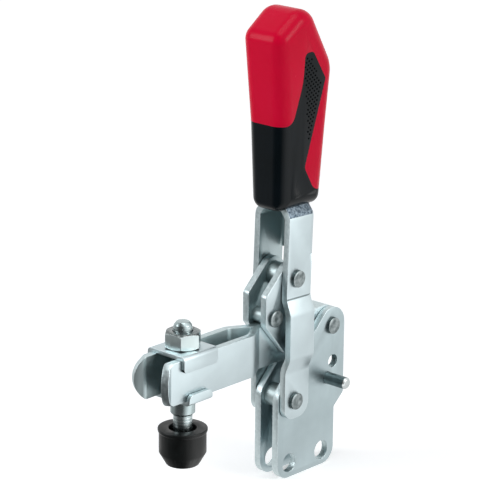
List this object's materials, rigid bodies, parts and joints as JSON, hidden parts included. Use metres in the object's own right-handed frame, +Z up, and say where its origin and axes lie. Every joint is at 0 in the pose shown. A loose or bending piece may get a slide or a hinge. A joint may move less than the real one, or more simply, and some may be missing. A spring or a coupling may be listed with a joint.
{
  "type": "toggle clamp",
  "caption": "Vertical toggle clamp with an upright safety-grip lever, an open clamping arm, a sliding rubber-tipped spindle and an upright base with bolt holes.",
  "frame": {"origin": "midway between the two mounting holes, on the middle plane between the base plates", "axes": "+X from the clamping spindle to the arm pivot, +Y along the rivets, +Z up along the shut lever"},
  "size_m": [0.108, 0.0336, 0.1927],
  "materials": {
    "zinc_steel": "bright zinc plate on pressed sheet",
    "bright_steel": "bright zinc plate on turned parts",
    "dark_steel": "dark oxide with a bright chamfer",
    "red_plastic": "glossy moulded plastic",
    "black_plastic": "satin soft moulded plastic",
    "rubber": "matte black rubber"
  },
  "bodies": {
    "base": {"base_plate_near": "zinc_steel", "base_plate_far": "zinc_steel", "base_bush": "bright_steel", "lever_pivot_rivet": "bright_steel", "arm_pivot_rivet": "bright_steel", "stop_pin": "dark_steel"},
    "lever": {"handle_lever": "zinc_steel", "link_pivot_rivet": "bright_steel", "grip_core": "red_plastic", "grip_sleeve": "black_plastic"},
    "link": {"link_plate_near": "zinc_steel", "link_plate_far": "zinc_steel", "link_top_bush": "bright_steel", "stop_rivet": "bright_steel", "stop_spacer": "bright_steel", "arm_link_rivet": "bright_steel"},
    "arm": {"arm_bar_near": "zinc_steel", "arm_bar_far": "zinc_steel", "arm_pivot_core": "bright_steel"},
    "carriage": {"upper_saddle": "zinc_steel", "lower_saddle": "zinc_steel", "hex_nut": "bright_steel", "collar_nut": "bright_steel"},
    "spindle": {"clamping_spindle": "bright_steel", "rubber_cap": "rubber"}
  },
  "joints": [
    {"name": "lever_hinge", "type": "hinge", "parent": "base", "child": "lever", "pos_m": [-0.0102, 0, 0.0276], "axis": [0, 1, 0], "range_deg": [0, 56]},
    {"name": "link_hinge", "type": "hinge", "parent": "lever", "child": "link", "pos_m": [-0.0099, 0, 0.0789], "axis": [0, 1, 0], "range_deg": [0, 89.2]},
    {"name": "arm_hinge", "type": "hinge", "parent": "link", "child": "arm", "pos_m": [-0.00945, 0, 0.0525], "axis": [0, 1, 0], "range_deg": [-51.8, 0]},
    {"name": "saddle_slide", "type": "slide", "parent": "arm", "child": "carriage", "axis": [1, 0, 0], "range_m": [-0.004, 0.02]},
    {"name": "spindle_slide", "type": "slide", "parent": "carriage", "child": "spindle", "axis": [0, 0, 1], "range_m": [-0.0035, 0.006]}
  ],
  "couplings": [
    {"joint": "link_hinge", "follows": "lever_hinge", "ratio": 1.5894},
    {"joint": "arm_hinge", "follows": "lever_hinge", "ratio": -0.92104}
  ]
}
